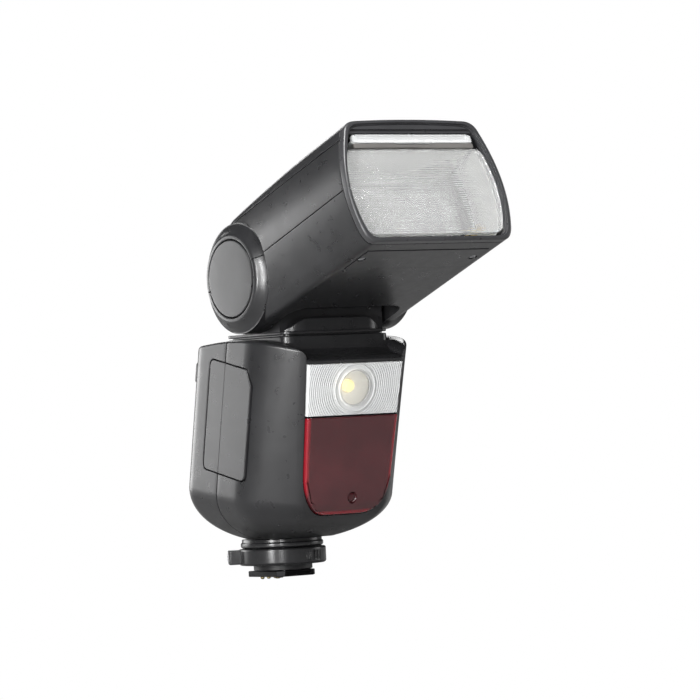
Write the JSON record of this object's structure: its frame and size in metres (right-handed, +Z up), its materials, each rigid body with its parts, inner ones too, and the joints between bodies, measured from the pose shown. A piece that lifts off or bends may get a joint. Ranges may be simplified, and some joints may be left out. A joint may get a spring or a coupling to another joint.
{
  "type": "speedlight flash",
  "caption": "Shoe-mount camera flash: tilting, swivelling zoom head on a leaning case with a lamp window, red assist panel and side battery.",
  "frame": {"origin": "centre of the foot plate's bottom face", "axes": "-Y towards the front of the flash, +X to the right seen from the front, +Z up along the foot's axis"},
  "size_m": [0.076, 0.1356, 0.1732],
  "materials": {
    "case_plastic": "fine textured satin",
    "bezel_plastic": "satin",
    "dark_plastic": "matt",
    "satin_black": "satin",
    "steel": "satin",
    "clear_plastic": "clear",
    "red_plastic": "translucent gloss",
    "circuit_board": "solder mask",
    "mirror_metal": "polished",
    "lamp_yellow": "phosphor",
    "pale_grey": "satin",
    "port_rubber": "matt",
    "white_card": "matt",
    "brass": "plated"
  },
  "bodies": {
    "body": {"front_case": "case_plastic", "rear_case": "case_plastic", "led_window": "clear_plastic", "red_panel": "red_plastic", "led_bowl": "mirror_metal", "led_board": "circuit_board", "led_chip": "lamp_yellow", "assist_lamp": "red_plastic", "wireless_sensor": "dark_plastic", "display_window": "clear_plastic", "display": "pale_grey", "main_board": "circuit_board", "battery_sleeve": "dark_plastic", "battery_contacts": "brass", "main_capacitor": "dark_plastic", "foot_plate": "steel", "foot_contacts": "brass", "foot_spacer": "dark_plastic", "foot_collar": "dark_plastic", "neck_base": "case_plastic"},
    "yoke": {"yoke": "case_plastic", "swivel_retainer": "steel"},
    "head": {"head_upper_shell": "case_plastic", "head_lower_shell": "case_plastic", "head_top_cover": "case_plastic", "head_bezel": "bezel_plastic", "fresnel_lens": "clear_plastic", "head_bottom_panel": "case_plastic", "tilt_axle": "steel", "hinge_cap_left": "case_plastic", "hinge_cap_right": "case_plastic", "tilt_washer_left": "steel", "tilt_washer_right": "steel", "bottom_screw_left": "steel", "bottom_screw_right": "steel", "guide_rod": "steel", "zoom_motor": "steel"},
    "zoom_carriage": {"zoom_carriage": "dark_plastic", "reflector": "mirror_metal", "flash_tube": "clear_plastic"},
    "lead_screw": {"lead_screw": "brass"},
    "wide_panel": {"wide_panel": "clear_plastic"},
    "bounce_card": {"bounce_card": "white_card"},
    "battery": {"battery": "case_plastic"},
    "battery_release": {"battery_release": "dark_plastic"},
    "port_cover": {"port_cover": "port_rubber"},
    "lock_ring": {"lock_ring": "satin_black"},
    "lock_button": {"lock_button": "pale_grey"},
    "locking_pin": {"locking_pin": "steel"},
    "function_key_1": {"function_key_1": "satin_black"},
    "function_key_2": {"function_key_2": "satin_black"},
    "function_key_3": {"function_key_3": "satin_black"},
    "function_key_4": {"function_key_4": "satin_black"},
    "mode_key": {"mode_key": "satin_black"},
    "menu_key": {"menu_key": "satin_black"},
    "test_key": {"test_key": "red_plastic"},
    "set_key": {"set_key": "dark_plastic"},
    "control_dial": {"control_dial": "satin_black"},
    "power_switch": {"power_switch": "satin_black"}
  },
  "joints": [
    {"name": "swivel", "type": "hinge", "parent": "body", "child": "yoke", "pos_m": [0, -0.0243, 0.094], "axis": [0, 0, 1], "range_deg": [-180, 150]},
    {"name": "tilt", "type": "hinge", "parent": "yoke", "child": "head", "pos_m": [0, -0.029, 0.1165], "axis": [-1, 0, 0], "range_deg": [-27, 100]},
    {"name": "zoom", "type": "slide", "parent": "head", "child": "zoom_carriage", "axis": [0, -0.9397, 0.342], "range_m": [-0.002, 0.014]},
    {"name": "lead_screw_turn", "type": "hinge", "parent": "head", "child": "lead_screw", "pos_m": [0.024, -0.06941, 0.11599], "axis": [0, -0.9397, 0.342], "range_deg": [-190, 1270]},
    {"name": "wide_panel_slide", "type": "slide", "parent": "head", "child": "wide_panel", "axis": [0, -0.9299, 0.3678], "range_m": [0, 0.04]},
    {"name": "bounce_card_slide", "type": "slide", "parent": "head", "child": "bounce_card", "axis": [0, -0.9299, 0.3678], "range_m": [0, 0.038]},
    {"name": "battery_slide", "type": "slide", "parent": "body", "child": "battery", "axis": [-1, 0, 0], "range_m": [0, 0.07]},
    {"name": "battery_release_press", "type": "slide", "parent": "body", "child": "battery_release", "axis": [0, -0.9781, -0.2079], "range_m": [0, 0.0008], "stiffness_N_per_m": 400, "springref_m": -0.0004},
    {"name": "port_cover_pull", "type": "slide", "parent": "body", "child": "port_cover", "axis": [1, 0, 0], "range_m": [0, 0.006]},
    {"name": "function_key_1_press", "type": "slide", "parent": "body", "child": "function_key_1", "axis": [0, -0.9781, -0.2079], "range_m": [0, 0.0008], "stiffness_N_per_m": 400, "springref_m": -0.0004},
    {"name": "function_key_2_press", "type": "slide", "parent": "body", "child": "function_key_2", "axis": [0, -0.9781, -0.2079], "range_m": [0, 0.0008], "stiffness_N_per_m": 400, "springref_m": -0.0004},
    {"name": "function_key_3_press", "type": "slide", "parent": "body", "child": "function_key_3", "axis": [0, -0.9781, -0.2079], "range_m": [0, 0.0008], "stiffness_N_per_m": 400, "springref_m": -0.0004},
    {"name": "function_key_4_press", "type": "slide", "parent": "body", "child": "function_key_4", "axis": [0, -0.9781, -0.2079], "range_m": [0, 0.0008], "stiffness_N_per_m": 400, "springref_m": -0.0004},
    {"name": "mode_key_press", "type": "slide", "parent": "body", "child": "mode_key", "axis": [0, -0.9781, -0.2079], "range_m": [0, 0.0008], "stiffness_N_per_m": 400, "springref_m": -0.0004},
    {"name": "menu_key_press", "type": "slide", "parent": "body", "child": "menu_key", "axis": [0, -0.9781, -0.2079], "range_m": [0, 0.0008], "stiffness_N_per_m": 400, "springref_m": -0.0004},
    {"name": "test_key_press", "type": "slide", "parent": "body", "child": "test_key", "axis": [0, -0.9781, -0.2079], "range_m": [0, 0.0008], "stiffness_N_per_m": 400, "springref_m": -0.0004},
    {"name": "set_key_press", "type": "slide", "parent": "body", "child": "set_key", "axis": [0, -0.9781, -0.2079], "range_m": [0, 0.0008], "stiffness_N_per_m": 400, "springref_m": -0.0004},
    {"name": "dial_turn", "type": "hinge", "parent": "body", "child": "control_dial", "pos_m": [0, 0.01698, 0.03652], "axis": [0, 0.9781, 0.2079], "continuous": true},
    {"name": "power_switch_slide", "type": "slide", "parent": "body", "child": "power_switch", "axis": [0, 0.2079, -0.9781], "range_m": [0, 0.003]},
    {"name": "lock_ring_turn", "type": "hinge", "parent": "body", "child": "lock_ring", "pos_m": [0, 0, 0.008], "axis": [0, 0, 1], "range_deg": [0, 45]},
    {"name": "lock_button_press", "type": "slide", "parent": "lock_ring", "child": "lock_button", "axis": [0.866, -0.5, 0], "range_m": [0, 0.0006], "stiffness_N_per_m": 400, "springref_m": -0.0004},
    {"name": "locking_pin_drop", "type": "slide", "parent": "body", "child": "locking_pin", "axis": [0, 0, -1], "range_m": [0, 0.002]}
  ],
  "couplings": [
    {"joint": "lead_screw_turn", "follows": "zoom", "rad_per_m": 1570.8},
    {"joint": "locking_pin_drop", "follows": "lock_ring_turn", "m_per_rad": 0.0023}
  ]
}
